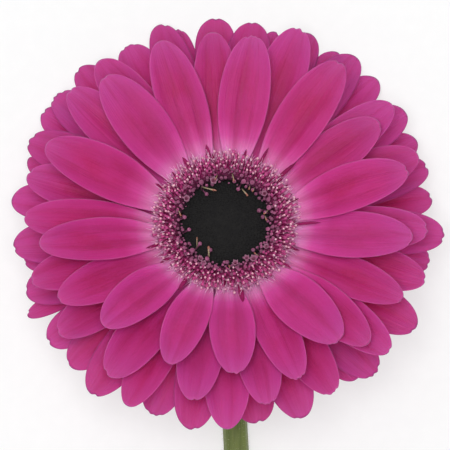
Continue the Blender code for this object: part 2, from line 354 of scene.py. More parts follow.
store(scape, "downy", (number < (STEM_ROWS - 1) * STEM_SIDES) * off_table * (1.5 - along_stem))

scape_skin = Finish("stem_skin", Roughness=0.5, Sheen_Weight=0.25, Sheen_Roughness=0.5,
                    Sheen_Tint=(226, 230, 214))
streaks = scape_skin.mottle(420.0, 2600.0, scape_skin.here((1, 0.05, 1)))
green = scape_skin.mix(streaks, (78, 106, 33), (112, 135, 57))
green = scape_skin.stain(green, (108, 114, 48), 0.45, scape_skin.mottle(45.0, 300.0, cell_share=0.25))
along = scape_skin.attribute("along")
green = scape_skin.mix(scape_skin.ease(along, 0.8, 1.0, 0.0, 0.5), green, (134, 104, 74))
green = scape_skin.mix(scape_skin.ease(along, 0.0, 0.1, 0.35, 0.0), green, (150, 166, 104))
pith = scape_skin.ramp(scape_skin.attribute("from_pith"), (0.0, 206, 210, 176), (0.4, 190, 202, 150),
                       (0.56, 150, 172, 100), (0.68, 178, 194, 128), (0.8, 122, 146, 72))
skin_share = scape_skin.ease(scape_skin.attribute("skin"), 0.5, 0.9)
scape_skin.finish(scape_skin.mix(skin_share, pith, green), streaks, 0.18 * MM)
stem = show("stem_scape", scape, scape_skin.material)
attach(stem, "root")
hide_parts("stem")


# Down: the short white hairs all over the stem, thickest below the head, which make its edges
# look grey against the light. Each is a bent, tapering bristle that grows out of the skin.

DOWN_DENSITY = 0.7e6              # hairs on a square metre of skin


def turned(name, profile, sides, bend=0.0, wide=MM, tall=MM, tip=None, full=None):
    """A small closed turned shape. A point of its profile is a radius and a height and, where it has
    lobes, how far every second one stands out and up. Its 'up' is 0 at no height and 1 at the full one."""
    last = profile[-1][1]
    full = (full or last) * tall
    rings = []
    for radius, height, *lobe in profile:
        out, rise = (*lobe, 0, 0)[:2]
        lean = bend * full * max(0, height * tall / full) ** 2
        ring = []
        for k in range(sides):
            turn = -2 * math.pi * k / sides
            reach = radius * wide * (1 + out * (k % 2))
            up = (height + rise * (k % 2)) * tall
            ring.append((reach * math.cos(turn) + lean, reach * math.sin(turn), up))
        rings.append(ring)
    mesh = lofted(name, rings, (0, 0, profile[0][1] * tall), (bend * full, 0, (tip or last) * tall))
    store(mesh, "up", [min(1.0, max(0.0, v.co.z / full)) for v in mesh.vertices])
    return mesh


def scatter(grown, spread, seed, salt, middle=0.0):
    """A random number for each point or copy, within a spread of a middle value."""
    made = grown.node("FunctionNodeRandomValue", data_type="FLOAT", Seed=grown.maths("ADD", seed, salt))
    grown.feed(grown.maths("SUBTRACT", middle, spread), made.inputs[2])
    grown.feed(grown.maths("ADD", middle, spread), made.inputs[3])
    return made.outputs[1]


def set_pieces(grown, given, copied, points, rotation, size=1.0, where=True):
    """Sets the small piece on each point, tips and rolls it a little, and makes the copies real."""
    spreads = (given[name] for name in ("Tilt Spread", "Tilt Spread", "Roll Spread"))
    tilt = grown.vector(*(scatter(grown, spread, given["Seed"], salt) for salt, spread in enumerate(spreads)))
    turn = grown.node("FunctionNodeEulerToRotation", Euler=tilt)
    rotation = grown.node("FunctionNodeRotateRotation", rotation_space="LOCAL", Rotation=rotation,
                          Rotate_By=turn.outputs[0])
    size = grown.times(scatter(grown, given["Size Spread"], given["Seed"], 7, 1.0), size)
    piece = grown.node("GeometryNodeObjectInfo", Object=given["Piece"])
    copies = grown.node("GeometryNodeInstanceOnPoints", Points=points, Instance=piece.outputs["Geometry"],
                        Rotation=rotation.outputs[0], Scale=size, Selection=where)
    tinted = grown.node("GeometryNodeStoreNamedAttribute", data_type="FLOAT", domain="INSTANCE", Name="tint",
                        Geometry=copies.outputs[0], Value=scatter(grown, 0.5, given["Seed"], 9, 0.5))
    real = grown.node("GeometryNodeRealizeInstances", Geometry=tinted.outputs[0])
    painted = grown.node("GeometryNodeSetMaterial", Geometry=real.outputs[0], Material=given["Finish"])
    grown.feed(painted.outputs[0], copied)
    return grown.tree


def copying_tree(name, *inputs):
    """A geometry tree with its own inputs and those of every tree that copies a small piece."""
    return new_tree("Geometry", name, "Geometry", "Geometry", *inputs,
                    ("Piece", "Object", None), ("Size Spread", "Float", 0.15), ("Tilt Spread", "Float", 0.1),
                    ("Roll Spread", "Float", 3.14), ("Seed", "Int", 1), ("Finish", "Material", None))


def make_down_tree():
    """Bristles over a skin, as thick as the skin's 'downy' says."""
    grown, given, copied = copying_tree("down", ("Skin", "Object", None), ("Hairs per Area", "Float", 1e6))
    skin = grown.node("GeometryNodeObjectInfo", Object=given["Skin"])
    downy = grown.node("GeometryNodeInputNamedAttribute", data_type="FLOAT", Name="downy")
    density = grown.times(downy.outputs["Attribute"], given["Hairs per Area"])
    spots = grown.node("GeometryNodeDistributePointsOnFaces", Mesh=skin.outputs["Geometry"], Density=density,
                       Seed=given["Seed"])
    return set_pieces(grown, given, copied, spots.outputs["Points"], spots.outputs["Rotation"])


def grow(name, tree, frame_matrix=None, **inputs):
    """The plain mesh that a geometry tree makes with these inputs, as an object at the origin."""
    carrier = show(name + "_carrier", bpy.data.meshes.new(name))
    modifier = carrier.modifiers.new(name, "NODES")
    modifier.node_group = tree
    patterns = []
    for item in tree.interface.items_tree:
        value = inputs.pop(item.name.replace(" ", "_"), None)
        if isinstance(value, bpy.types.Mesh):
            value = show(value.name, value)
            patterns.append(value)
        if value is not None:
            modifier[item.identifier] = value
        elif item.in_out == "INPUT" and getattr(item, "default_value", None) is not None:
            modifier[item.identifier] = item.default_value
    if inputs:
        raise ValueError(f"{name}: the tree has no input named {sorted(inputs)}")
    bpy.context.view_layer.update()
    graph = bpy.context.evaluated_depsgraph_get()
    mesh = bpy.data.meshes.new_from_object(carrier.evaluated_get(graph), preserve_all_data_layers=True,
                                           depsgraph=graph)
    carrier.modifiers.remove(modifier)
    for used in (carrier, *patterns):
        bpy.data.objects.remove(used)
    if frame_matrix:
        mesh.transform(frame_matrix)
    mesh.shade_smooth()
    return show(name, mesh)


down_tree = make_down_tree()
hair = Finish("stem_hairs", Roughness=0.5)
hair.finish(hair.mix(hair.attribute("tint"), (162, 174, 120), (214, 218, 188)))
bristle = turned("bristle", [(0.026, -0.1), (0.02, 0.25), (0.004, 0.62)], 3, bend=0.35)
stem_hairs = grow("stem_hairs", down_tree, Skin=stem, Hairs_per_Area=DOWN_DENSITY, Piece=bristle,
                  Size_Spread=0.4, Tilt_Spread=0.45, Seed=4, Finish=hair.material)
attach(stem_hairs, "root")


# Bracts: the cup of narrow green scales that wraps the cushion from below and carries the
# petals, in three overlapping whorls. Each scale is a keeled leaf with a thin dry edge, a dark
# point and a little down, and grows from the cushion's side.

# Each whorl: number of scales, first turn, half width, thickness, path of (radius, height)
BRACT_WHORLS = {
    "inner": (22, 4, 1.9, 0.45, [(8.3, -10.4), (11.0, -8.1), (13.4, -5.9), (16.2, -4.7), (20.4, -4.4)]),
    "middle": (20, 12, 2.0, 0.5, [(5.6, -12.9), (9.6, -10.6), (12.6, -8.0), (15.2, -6.7), (18.2, -6.6)]),
    "outer": (16, 0, 1.8, 0.5, [(4.3, -13.4), (7.2, -12.6), (10.0, -10.8), (12.6, -9.3), (14.6, -9.0)]),
}
SCALE_RING = (-1, -0.7, -0.35, 0, 0.35, 0.7, 1, 0.7, 0.35, 0, -0.35, -0.7)
OUTER_POINTS = 7                  # how many of the ring's points lie on the scale's outer side
SCALE_STATIONS = 11


def keeled_scale(name, path, half_width, thickness):
    """One scale at the whorl's first turn: a long leaf, thick along its keel, thin at its edges."""
    path = np.array(path) * MM
    steps = np.linspace(0, 1, len(path))
    run, climb = (np.polyfit(steps, path[:, axis], 3) for axis in (0, 1))
    rings = []
    for along in np.linspace(0, 1, SCALE_STATIONS):
        slope = math.atan2(np.polyval(np.polyder(climb), along), np.polyval(np.polyder(run), along))
        half = half_width * MM * (0.62 + 0.55 * along) * math.sqrt(max(0.0008, 1 - along ** 2.6))
        ring = []
        for place, across in enumerate(SCALE_RING):
            keel = thickness * MM * (1 - abs(across)) ** 0.8 * (1.15 - along)
            keel *= 1 if place < OUTER_POINTS else -0.35
            hug = 0.3 * half * across ** 2
            ring.append((half * across, np.polyval(run, along) + math.sin(slope) * (keel - hug),
                         np.polyval(climb, along) - math.cos(slope) * (keel - hug)))
        rings.append(ring)
    mesh = lofted(name, rings, np.mean(rings[0], axis=0), np.mean(rings[-1], axis=0))
    count = len(SCALE_RING)
    store(mesh, "along", [n // count / (SCALE_STATIONS - 1) for n in range(count * SCALE_STATIONS)] + [0, 1])
    store(mesh, "edge", [abs(across) for across in SCALE_RING] * SCALE_STATIONS + [0, 1])
    downy = [1.0 if place < OUTER_POINTS else 0.1 for place in range(count)]
    store(mesh, "downy", downy * SCALE_STATIONS + [0, 0])
    return mesh


def make_whorl_tree():
    """Copies of one scale turned evenly about the head's axis."""
    grown, given, copied = copying_tree("whorl", ("Count", "Int", 20), ("First Turn", "Float", 0.0),
                                        ("Turn Spread", "Float", 0.03))
    spots = grown.node("GeometryNodePoints", Count=given["Count"])
    index = grown.node("GeometryNodeInputIndex").outputs[0]
    step = grown.maths("DIVIDE", math.tau, given["Count"])
    turn = grown.maths("MULTIPLY_ADD", index, step, given["First Turn"])
    turn = grown.maths("ADD", turn, scatter(grown, given["Turn Spread"], given["Seed"], 5))
    rotation = grown.node("FunctionNodeEulerToRotation", Euler=grown.vector(z=turn))
    return set_pieces(grown, given, copied, spots.outputs[0], rotation.outputs[0])


whorl_tree = make_whorl_tree()
scale_green = Finish("bract_green", Roughness=0.55, Sheen_Weight=0.2, Sheen_Tint=(220, 226, 200))
scale_streaks = scale_green.mottle(240.0, 1800.0)
leaf = scale_green.mix(scale_streaks, (70, 94, 40), (112, 134, 66))
leaf = scale_green.stain(leaf, (104, 106, 60), 0.3, scale_green.attribute("tint"))
dry_edge = scale_green.ease(scale_green.attribute("edge"), 0.72, 1.0, 0.0, 0.75)
leaf = scale_green.mix(dry_edge, leaf, (172, 170, 122))
point = scale_green.ease(scale_green.attribute("along"), 0.78, 1.0, 0.0, 0.8)
scale_green.finish(scale_green.mix(point, leaf, (110, 62, 66)), scale_streaks, 0.15 * MM)
bract_hair = turned("bract_bristle", [(0.022, -0.1), (0.016, 0.3), (0.004, 0.8)], 3, bend=0.4)
for whorl, (count, first, half_width, thickness, path) in BRACT_WHORLS.items():
    scale = keeled_scale("scale", path, half_width, thickness)
    scales = grow("bracts_" + whorl, whorl_tree, HEAD, Piece=scale, Count=count,
                  First_Turn=math.radians(first), Size_Spread=0.04, Tilt_Spread=0.02, Roll_Spread=0.0,
                  Seed=count, Finish=scale_green.material)
    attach(scales, "root")
    if whorl == "inner":
        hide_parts("bracts")
    bract_hairs = grow("bract_down_" + whorl, down_tree, Skin=scales, Hairs_per_Area=DOWN_DENSITY,
                       Piece=bract_hair, Size_Spread=0.4, Tilt_Spread=0.5, Seed=count, Finish=hair.material)
    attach(bract_hairs, "root")


# Petals: the strap-shaped ray florets, thin and velvety, magenta with a crimson heart, a pale
# root and a fine pale rim that is a painted highlight. Two or three long pleats run down each
# one to a tip of tiny teeth, with painted shade in their grooves and creases.
# They sit in rear, middle and front rows on the cushion's side, each over the gaps below.

PETAL_WIDEST = 0.57               # fraction of the length where the blade is widest
PETAL_COLUMNS = 26
PETAL_ROWS = 38
PETAL_SKIN = 0.34 * MM
BLUNTNESS = {"front": 2.1, "middle": 2.5, "rear": 3.0}
DEPTH = {"front": 0.0, "middle": 0.5, "rear": 1.0}
CORNER = 0.955                    # fraction of the length where the side edge turns into the tip
TIP_ROUNDING = 2.1
TIP_TEETH = 0.6 * MM              # how far the thin toothed tip stands out of the solid
TOOTH_NOTCHES = [(), (-0.3, 0.35), (0.1,), (), (-0.5, 0.0, 0.5), (0.4,), (-0.2,)]
NOTCH_WIDTH = 0.16                # share of the half width
RESTING = 0.2 * MM                # height over the table where a petal starts to lie flat
SETTLING = 0.95                   # share of what lies lower that is taken back

# The least and the greatest that a petal may have of each, in millimetres and degrees
NOTCH_DEPTH = (0.25, 0.6)
SIDE_BEND = (-0.5, 0.5)
PLEAT_DEPTH = (0.3, 0.6)
EDGE_WAVE = (0.05, 0.2)
TIP_CURL = (-0.5, 0.15)
TWIST = (-2.5, 2.5)


def half_width_at(along, root_width, widest, blunt):
    """Share of the petal's half width at a fraction of its length."""
    before = root_width + (1 - root_width) * np.sin(math.pi / 2 * np.minimum(along / widest, 1)) ** 1.15
    past = np.clip((along - widest) / (1 - widest), 0, 1)
    return np.where(along < widest, before, np.sqrt(1 - past ** blunt))


def read_petal(node):
    """Turn, midline and half width of a petal's solid, in the head's frame."""
    corners = np.array([TO_HEAD @ v.co for v in node.data.vertices])
    corners = np.unique(np.round(corners, 6), axis=0)
    east, north, _ = corners.mean(axis=0)
    turn = math.atan2(east, north)
    out = corners @ (math.sin(turn), math.cos(turn), 0)
    side = corners @ (math.cos(turn), -math.sin(turn), 0)
    spine = abs(side) < 0.06 * MM
    climb = np.polyfit(out[spine], corners[spine, 2], 3)
    run = np.linspace(out[spine].min() + 0.1 * MM, out[spine].max() + TIP_TEETH, 120)
    return turn, run, np.polyval(climb, run), abs(side).max()


def lay_petal(name, turn, run, climb, half_width, row, root_width=0.27, widest=PETAL_WIDEST, cup=0.13):
    """A closed thin blade along a midline of (run, climb) points. Its name seeds its small differences."""
    rng = random.Random(name)
    arc = np.concatenate(([0], np.cumsum(np.hypot(np.diff(run), np.diff(climb)))))
    length = arc[-1]
    even = np.linspace(-1, 1, PETAL_COLUMNS + 1)
    across = np.sign(even) * (1 - (1 - abs(even)) ** 1.22)
    down = 1 - (1 - np.linspace(0, 1, PETAL_ROWS + 1)) ** 1.15
    u, v = np.meshgrid(across, down)

    # The tip: a round end cut by small teeth
    reach = 1 - (1 - CORNER) * abs(u) ** (TIP_ROUNDING + rng.uniform(-0.2, 0.3))
    for notch in rng.choice(TOOTH_NOTCHES):
        depth = rng.uniform(*NOTCH_DEPTH) * MM / length
        reach -= depth * np.exp(-((u - notch - rng.uniform(-0.1, 0.1)) / NOTCH_WIDTH) ** 2)
    s = v * reach
    half = half_width * half_width_at(v * CORNER, root_width, widest, BLUNTNESS[row])

    # The midline, with a slight bend to one side
    out = np.interp(s * length, arc, run)
    up = np.interp(s * length, arc, climb)
    slope = np.arctan2(np.interp(s * length, arc, np.gradient(climb, arc)),
                       np.interp(s * length, arc, np.gradient(run, arc)))
    side = u * half + rng.uniform(*SIDE_BEND) * MM * np.sin(math.pi * s) * s

    # The relief: a boat-shaped blade, long pleats, a wavy edge, a soft tip and a slight twist
    pleats = rng.choice([1.5, 2.0, 2.0, 2.5])
    fade = np.sin(math.pi * np.clip(s * 1.02, 0, 1)) ** 0.8 * (1 - u ** 2)
    drift = 0.1 * np.sin(3 * s + rng.uniform(0, 6)) + rng.choice([0, 0.5]) + rng.uniform(-0.15, 0.15)
    fold = 0.5 + 0.5 * np.cos(math.pi * pleats * (u + drift))
    rise = (cup + rng.uniform(-0.02, 0.06)) * half * u ** 2
    rise += rng.uniform(*PLEAT_DEPTH) * MM * (fold ** 0.7 - 0.5) * fade
    wave = rng.uniform(*EDGE_WAVE) * MM
    rise += wave * np.sin(rng.uniform(7, 11) * s + 1.5 * u + rng.uniform(0, 6)) * u ** 2
    rise += rng.uniform(*TIP_CURL) * MM * np.clip((s - 0.72) / 0.28, 0, 1) ** 2
    rise += side * np.sin(math.radians(rng.uniform(*TWIST)) * s)
    rim = (abs(u) > 0.999) | (v > 0.999)
    skin = np.where(rim, 0, PETAL_SKIN * (1.25 - 0.55 * s) * np.sqrt(1 - abs(u) ** 8))

    def surface(lift):
        outward = out - np.sin(slope) * (rise + lift)
        upward = up + np.cos(slope) * (rise + lift)
        laid = np.stack((outward * math.sin(turn) + side * math.cos(turn),
                         outward * math.cos(turn) - side * math.sin(turn), upward), axis=-1).reshape(-1, 3)
        return laid @ np.array(HEAD.to_3x3()).T + np.array(HEAD.translation)

    def quads(grid):
        corners = (grid[:-1, :-1], grid[:-1, 1:], grid[1:, 1:], grid[1:, :-1])
        return np.stack([corner.ravel() for corner in corners], axis=1)

    # The upper and lower skins share their points along the rim
    inner = ~rim.ravel()
    top = np.arange(u.size).reshape(u.shape)
    bottom = top.copy()
    bottom[~rim] = u.size + np.arange(inner.sum())
    upper, lower = surface(skin / 2), surface(-skin / 2)

    # What meets the table lies flat on it
    settle = SETTLING * np.maximum(0, RESTING - lower[:, 2])
    upper[:, 2] += settle
    lower[:, 2] += settle

    points = np.concatenate((upper, lower[inner]))
    faces = np.concatenate((quads(top), quads(bottom)[:, ::-1])).tolist()
    for k in range(PETAL_COLUMNS):
        root = (top[0, k + 1], top[0, k], bottom[0, k], bottom[0, k + 1])
        faces.append([int(n) for n in dict.fromkeys(root)])
    mesh = bpy.data.meshes.new(name)
    mesh.from_pydata(points.tolist(), [], faces)
    mesh.shade_smooth()

    def both(values):
        return np.concatenate((values.ravel(), values.ravel()[inner]))

    uv = np.stack((both(u * 0.5 + 0.5), both(v)), axis=1)
    loops = np.zeros(len(mesh.loops), np.int32)
    mesh.loops.foreach_get("vertex_index", loops)
    mesh.uv_layers.new(name="UVMap").data.foreach_set("uv", uv[loops].astype(np.float32).ravel())
    to_edge = np.minimum((1 - abs(u)) * half, (1 - v) * length * 0.8)
    store(mesh, "from_rim", both(np.minimum(to_edge / MM, 3.0)))
    store(mesh, "under", np.concatenate((np.where(inner, 0.0, 0.4), np.ones(inner.sum()))))
    # Painted shade: groove marks the low parts of the pleats, where the petal's colour is darkened.
    store(mesh, "groove", both((1 - fold) ** 1.5 * fade))
    store(mesh, "shade", np.full(len(points), rng.random()))
    store(mesh, "depth", np.full(len(points), DEPTH[row]))
    return mesh


def make_vein_group():
    """Fine parallel veins down a blade: pale lines that waver a little, in a mask from 0 to 1."""
    inputs = (("Across", 0.5), ("Along", 0.5), ("Count", 18.0), ("Strands", 46.0), ("Seed", 0.0))
    inner, given, mask = new_tree("Shader", "veins", "Mask", "Float",
                                  *((name, "Float", value) for name, value in inputs))
    across, along, seed = given["Across"], given["Along"], given["Seed"]
    place = inner.vector(inner.times(across, 6.0), inner.times(along, 2.5), inner.times(seed, 40.0))
    bent = inner.maths("MULTIPLY_ADD", inner.noise(place, 1.0, 2.0), 0.06, across)
    wave = inner.maths("SINE", inner.times(bent, inner.times(given["Count"], math.tau)))
    place = inner.vector(inner.times(bent, given["Strands"]), inner.times(along, 2.0),
                         inner.times(seed, 17.0))
    lines = inner.maths("MULTIPLY_ADD", wave, 0.07, inner.noise(place, 1.0, 3.0))
    inner.feed(inner.ease(lines, 0.3, 0.72), mask)
    return inner.tree


veins = make_vein_group()

velvet = Finish("petal_velvet", Roughness=0.56, Specular_IOR_Level=0.22, Sheen_Weight=0.12,
                Sheen_Roughness=0.5, Sheen_Tint=(248, 190, 226), Subsurface_Weight=0.35,
                Subsurface_Scale=1.5 * MM, Subsurface_Radius=(1.0, 0.2, 0.5))
blade = velvet.node("ShaderNodeSeparateXYZ", Vector=velvet.node("ShaderNodeUVMap", uv_map="UVMap").outputs[0])
across, along = blade.outputs["X"], blade.outputs["Y"]
shade = velvet.attribute("shade")
off_centre = velvet.maths("ABSOLUTE", velvet.maths("MULTIPLY_ADD", across, 2.0, -1.0))
cells = velvet.mottle(110.0, 1500.0, cell_share=0.35)
lines, creases = (
    velvet.group(veins, Across=across, Along=along, Count=count, Strands=strands, Seed=shade)["Mask"]
    for count, strands in ((11.0, 46.0), (3.0, 8.0)))
long_place = velvet.vector(velvet.times(across, 1.6), velvet.times(along, 2.4), velvet.times(shade, 20.0))
blotches = velvet.mottle(1.8, 9.0, long_place, 0.2)
depth = velvet.attribute("depth")
shorter_root = velvet.times(depth, 0.3, velvet.maths("SUBTRACT", 1.0, along))
root_to_tip = velvet.maths("ADD", along, shorter_root)
petal = velvet.ramp(root_to_tip, (0.0, 248, 190, 230), (0.16, 246, 162, 216), (0.3, 216, 78, 162),
                    (0.42, 192, 41, 131), (0.72, 180, 40, 126), (0.88, 174, 52, 133),
                    (1.0, 178, 72, 144))
heart = velvet.times(velvet.ease(along, 0.2, 0.5), velvet.ease(along, 0.98, 0.6),
                     velvet.ease(off_centre, 1.0, 0.1), velvet.maths("MULTIPLY_ADD", blotches, 0.6, 0.4))
petal = velvet.mix(heart, petal, (170, 22, 90))
# Painted shade: crimson darkening laid into the pleats' low parts.
petal = velvet.stain(petal, (150, 12, 76), 0.6, velvet.attribute("groove"))
# Crease lines: partly the petal's own crimson, partly painted shade darkening the creases.
creases = velvet.times(velvet.maths("POWER", creases, 2.4), velvet.ease(off_centre, 0.9, 0.4),
                       velvet.ease(along, 0.15, 0.5, 0.0, 0.6), velvet.ease(along, 1.0, 0.7, 0.4, 1.0))
petal = velvet.mix(creases, petal, (150, 10, 74))
petal = velvet.stain(petal, (166, 24, 100), 0.18, lines)
petal = velvet.stain(petal, (202, 56, 142), 0.2, cells)
petal = velvet.mix(velvet.ease(shade, 0.4, 1.0, 0.0, 0.2), petal, (164, 26, 92))
petal = velvet.mix(velvet.ease(shade, 0.6, 0.0, 0.0, 0.2), petal, (180, 66, 146))
petal = velvet.stain(petal, (206, 104, 160), 0.45, velvet.attribute("under"))
# Painted highlight: a pale rim along the front rows' edges; the rear rows get a darker rim instead.
rim_mask = velvet.ease(velvet.attribute("from_rim"), 0.6, 0.0)
dark_rim = velvet.ease(depth, 0.6, 0.9)
rim_highlight_and_dark_tone = velvet.mix(dark_rim, (216, 94, 154), (128, 30, 88))
rim_highlight_and_dark_share = velvet.times(rim_mask, velvet.maths("MULTIPLY_ADD", dark_rim, 0.34, 0.26))
relief = velvet.maths("MULTIPLY_ADD", creases, -3.0, velvet.maths("MULTIPLY_ADD", cells, 0.35, lines))
velvet.finish(velvet.mix(rim_highlight_and_dark_share, petal, rim_highlight_and_dark_tone), relief, 0.05 * MM)

petal_names = sorted(node_name for node_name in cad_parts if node_name.startswith("petal_"))
for node_name in petal_names:
    row = node_name.split("_")[1]
    blade = lay_petal(node_name, *read_petal(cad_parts[node_name]), row)
    ray = show(node_name.replace("petal", "ray"), blade, velvet.material)
    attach(ray, "root")
    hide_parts(node_name)


# Hindmost petals: narrower ray florets that fill the gaps between the rear ones. Their claws
# are pressed thin between their neighbours and only their round tips show from the front. The
# lowest rest their tips on the table.

# Clock angle and reach seen from straight above, and width
HIND_PETALS = [(14.5, 50.4, 7.5), (24, 52.9, 10.5), (33.5, 52.2, 9), (46.5, 53.5, 9.5), (67, 53.2, 9.5),
               (83.5, 53.2, 9.5), (101, 53.2, 10), (140, 52.2, 9), (171, 51.9, 11.5), (235.5, 54.7, 10.5),
               (244.6, 56.0, 5.6), (259, 52.4, 9), (287.5, 53.2, 9), (301, 54.7, 10), (316.5, 54.5, 10.5),
               (345.5, 51.2, 7.5), (357, 52.4, 11)]
PETAL_ROOT = 13.45 * MM
EYE_TOP = 6.4 * MM
MIDLINE_STEPS = 59
FITTING_ROUNDS = 60
FIRST_LENGTH = 38 * MM            # the fitting starts from this length, and makes it right
ROOT_CLIMB = 2                    # degrees by which a petal climbs where it leaves the head
FALL = 16                         # degrees by which it turns down from there to its tip
LIFT_STEP = 0.3                   # degrees by which it is raised while its tip lies too deep
HIND_BASE = -3.3 * MM
HIND_STAGGER = 0.45 * MM          # every second one grows this much lower, so that neighbours pass
DEEPEST_TIP = -3.0 * MM           # how far a tip may fall before the table lays it flat


def seen_from_above(azimuth, reach, height):
    """The place in the head's frame, at a height, that shows at a clock angle and a reach in millimetres."""
    east = reach * MM * math.sin(math.radians(azimuth))
    north = reach * MM * math.cos(math.radians(azimuth)) + (EYE_TOP - height) * math.sin(HEAD_TILT)
    return east, north / math.cos(HEAD_TILT), height


def hind_midline(length, lift, base):
    """Run and climb from the root: nearly level at first, then falling away."""
    slopes = np.radians(lift + ROOT_CLIMB - FALL * np.linspace(0, 1, MIDLINE_STEPS + 1))
    run = PETAL_ROOT + np.concatenate(([0], np.cumsum(np.cos(slopes[:-1])))) * length / MIDLINE_STEPS
    climb = base + np.concatenate(([0], np.cumsum(np.sin(slopes[:-1])))) * length / MIDLINE_STEPS
    return run, climb


for number, (azimuth, reach, width) in enumerate(HIND_PETALS, start=1):
    lift = 0
    length = FIRST_LENGTH
    base = HIND_BASE - HIND_STAGGER * (number % 2)
    run, climb = hind_midline(length, lift, base)
    for _ in range(FITTING_ROUNDS):
        east, north, _ = seen_from_above(azimuth, reach, climb[-1])
        turn = math.atan2(east, north)
        length += math.hypot(east, north) + TIP_TEETH - run[-1]
        run, climb = hind_midline(length, lift, base)
        tip = HEAD @ Vector((run[-1] * math.sin(turn), run[-1] * math.cos(turn), climb[-1]))
        if tip.z < DEEPEST_TIP:
            lift += LIFT_STEP
    name = f"ray_hind_{number:02d}"
    blade = lay_petal(name, turn, run, climb, width / 2 * MM, "rear", root_width=0.3, widest=0.72, cup=0.02)
    ray = show(name, blade, velvet.material)
    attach(ray, "root")


# Floret crown: the ring of small tubular florets round the eye. The cushion under them is dark
# and pitted, with painted shade in its pits. Each floret is a slender magenta tube that ends in
# five short lobes, upright near the eye and leaning out over the petals' roots further from it.
# Its lobes are painted paler as a highlight, and its foot darker as shade among the florets.

CROWN_SIDES = 96
CROWN_INSIDE = 11.3               # radius in millimetres from which its tones change
CROWN_WIDTH = 6.7
CROWN_PROFILE = [(11.2, 3.0), (11.6, 5.2), (12.4, 6.4), (13.6, 7.0), (15.0, 6.9), (16.4, 6.2), (17.7, 5.4),
                 (18.0, 4.8), (16.6, 4.2), (13.2, 3.1)]
GOLDEN_ANGLE = 2.3999632
GRAIN_HEIGHT = 0.1 * MM           # of the fine grain on every floret's skin

# A tube floret's radius at shares of its length: out to the lobed mouth, then down the throat
TUBE_PROFILE = [(0.15, 0), (0.17, 0.45), (0.25, 0.8), (0.36, 1.0, 0.35, 0.1), (0.2, 0.93), (0.06, 0.82)]
FLORET_SIDES = 10

crown_points = []
crown_faces = []
band = len(CROWN_PROFILE)
for k in range(CROWN_SIDES):
    turn = 2 * math.pi * k / CROWN_SIDES
    wobble = 1 + 0.008 * math.sin(7 * turn) + 0.006 * math.sin(13 * turn + 1)
    for radius, height in CROWN_PROFILE:
        reach = radius * wobble * MM
        crown_points.append((reach * math.sin(turn), reach * math.cos(turn), height * MM))
    this, following = k * band, (k + 1) % CROWN_SIDES * band
    crown_faces += [(this + i, following + i, following + (i + 1) % band, this + (i + 1) % band)
                    for i in range(band)]
crown_bed = bpy.data.meshes.new("floret_crown")
crown_bed.from_pydata(crown_points, [], crown_faces)
crown_bed.shade_smooth()
crown_reach = np.array([v.co.xy.length / MM for v in crown_bed.vertices])
store(crown_bed, "outness", np.clip((crown_reach - CROWN_INSIDE) / CROWN_WIDTH, 0, 1))
crown_mesh = crown_bed.copy()
crown_mesh.transform(HEAD)
crown_flesh = Finish("floret_bed", Roughness=0.7, Specular_IOR_Level=0.2)
pits = crown_flesh.mottle(700.0, 2400.0)
# Painted shade: the deep tones fill the pits, where the bump is lowest, and the high tones the bumps between.
deep = crown_flesh.ramp(crown_flesh.attribute("outness"), (0.0, 34, 26, 34), (0.5, 110, 16, 64),
                        (0.75, 124, 20, 76), (0.95, 206, 110, 168))
high = crown_flesh.ramp(crown_flesh.attribute("outness"), (0.0, 66, 38, 60), (0.5, 172, 48, 112),
                        (0.75, 186, 62, 126), (0.95, 236, 156, 204))
crown_flesh.finish(crown_flesh.mix(pits, deep, high), pits, 0.3 * MM)
crown = show("floret_crown", crown_mesh, crown_flesh.material)
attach(crown, "root")
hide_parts("floret_ring")


